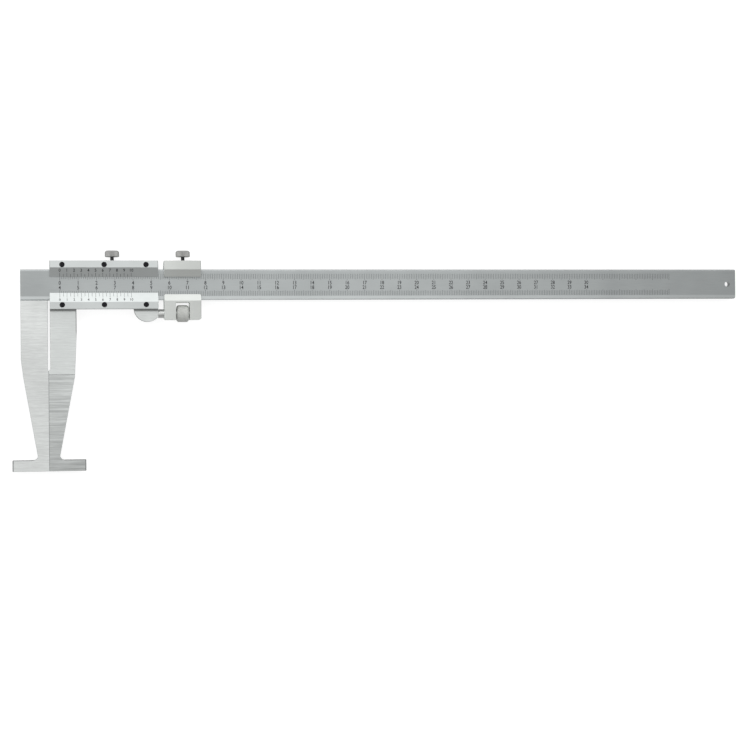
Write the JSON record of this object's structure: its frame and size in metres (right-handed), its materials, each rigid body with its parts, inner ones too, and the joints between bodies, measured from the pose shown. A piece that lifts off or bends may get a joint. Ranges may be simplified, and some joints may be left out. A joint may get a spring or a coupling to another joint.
{
  "type": "brake drum caliper",
  "caption": "Vernier caliper with long jaws and outward feet for measuring the inside of brake drums, with a sliding scale carriage and a fine-adjust clamp.",
  "frame": {"origin": "middle of the base: the caliper lies on the back of its slider and clamp, scale face up", "axes": "+X along the beam away from the jaws, +Y across the beam towards the lock knobs, +Z out of the scale face"},
  "size_m": [0.417, 0.1212, 0.0096],
  "materials": {
    "beam_steel": "satin chrome, matt along the scale",
    "jaw_steel": "surface ground",
    "slider_steel": "satin chrome",
    "clamp_steel": "satin chrome",
    "black_screws": "black oxide",
    "rivet_steel": "ground flush",
    "spring_bronze": "rolled strip",
    "stud_steel": "threaded, bright",
    "dark_steel": "black oxide",
    "knob_nickel": "knurled, nickel plated",
    "nut_nickel": "knurled, nickel plated"
  },
  "bodies": {
    "beam": {"beam": "beam_steel", "fixed_jaw": "jaw_steel", "jaw_rivets": "rivet_steel"},
    "slider": {"slider_back_plate": "slider_steel", "upper_rail": "slider_steel", "moving_jaw": "jaw_steel", "upper_vernier": "slider_steel", "lower_vernier": "slider_steel", "vernier_screws": "black_screws", "slider_gib": "spring_bronze", "gib_screws": "black_screws", "adjust_stud": "stud_steel"},
    "slider_lock": {"slider_lock_stem": "dark_steel", "slider_lock_knob": "knob_nickel"},
    "clamp": {"clamp_body": "clamp_steel", "clamp_gib": "spring_bronze"},
    "clamp_lock": {"clamp_lock_stem": "dark_steel", "clamp_lock_knob": "knob_nickel"},
    "adjust_nut": {"adjust_nut": "nut_nickel"}
  },
  "joints": [
    {"name": "slider_slide", "type": "slide", "parent": "beam", "child": "slider", "axis": [1, 0, 0], "range_m": [0, 0.3]},
    {"name": "clamp_slide", "type": "slide", "parent": "slider", "child": "clamp", "axis": [1, 0, 0], "range_m": [-0.0025, 0.005]},
    {"name": "nut_spin", "type": "hinge", "parent": "clamp", "child": "adjust_nut", "pos_m": [-0.11488, 0.02575, 0.00485], "axis": [1, 0, 0], "range_deg": [-1800, 3600]},
    {"name": "slider_lock_turn", "type": "hinge", "parent": "slider", "child": "slider_lock", "pos_m": [-0.15348, 0.05505, 0.00485], "axis": [0, 1, 0], "range_deg": [-180, 540]},
    {"name": "clamp_lock_turn", "type": "hinge", "parent": "clamp", "child": "clamp_lock", "pos_m": [-0.11447, 0.05505, 0.00485], "axis": [0, 1, 0], "range_deg": [-180, 540]}
  ],
  "couplings": [
    {"joint": "nut_spin", "follows": "clamp_slide", "rad_per_m": 12566}
  ]
}
